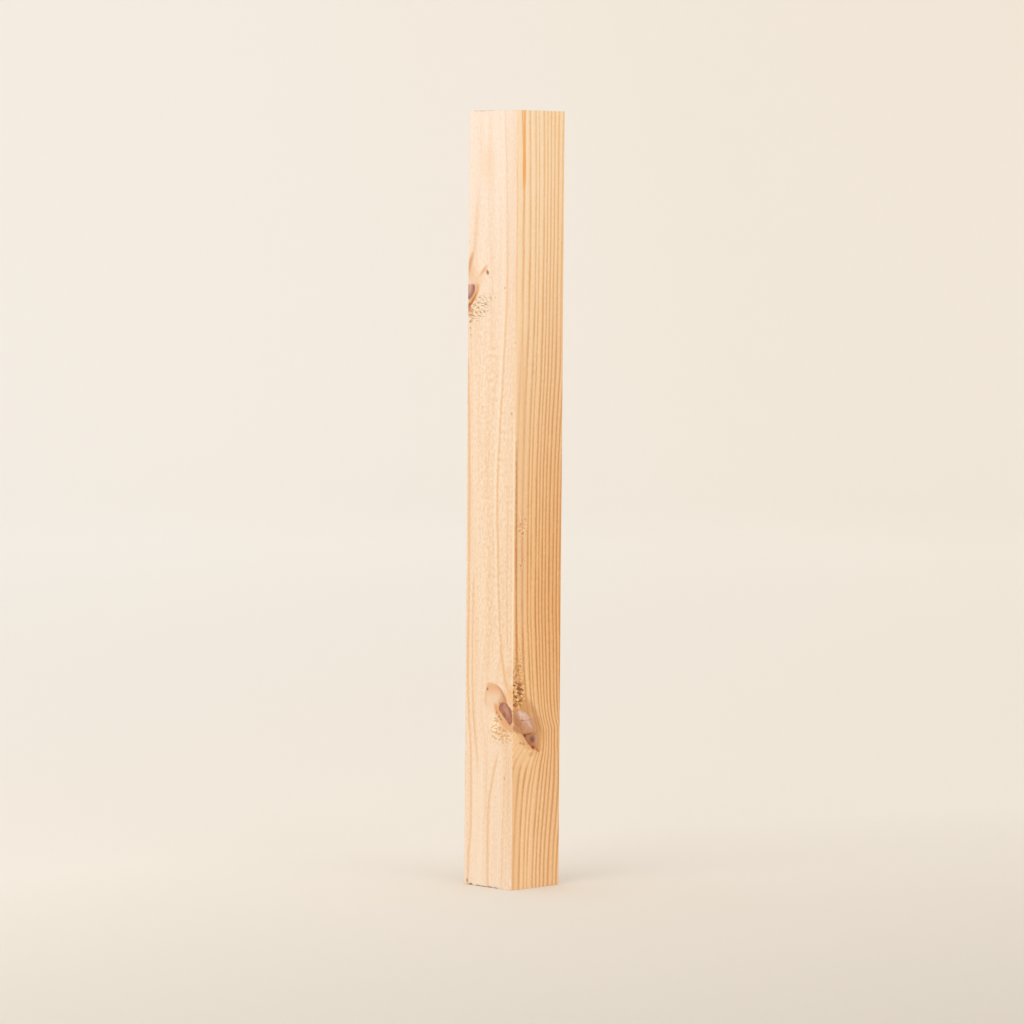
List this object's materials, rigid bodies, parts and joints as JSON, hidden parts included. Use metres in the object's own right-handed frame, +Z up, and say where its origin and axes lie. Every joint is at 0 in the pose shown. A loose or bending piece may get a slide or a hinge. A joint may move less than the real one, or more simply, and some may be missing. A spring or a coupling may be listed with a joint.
{
  "type": "corner trim",
  "caption": "Planed softwood corner trim of L section with eased edges and square-sawn ends, fixed over an outside corner to cover it.",
  "frame": {"origin": "centre of the 38 mm square that the section fills, on the lower sawn end", "axes": "+Z up along the trim's length; +X and +Y run along the two legs, away from the outer corner, which is at -X -Y"},
  "size_m": [0.038, 0.038, 0.435],
  "materials": {
    "planed_pine": "planed, unfinished"
  },
  "bodies": {
    "root": {"corner_trim": "planed_pine"}
  },
  "joints": []
}
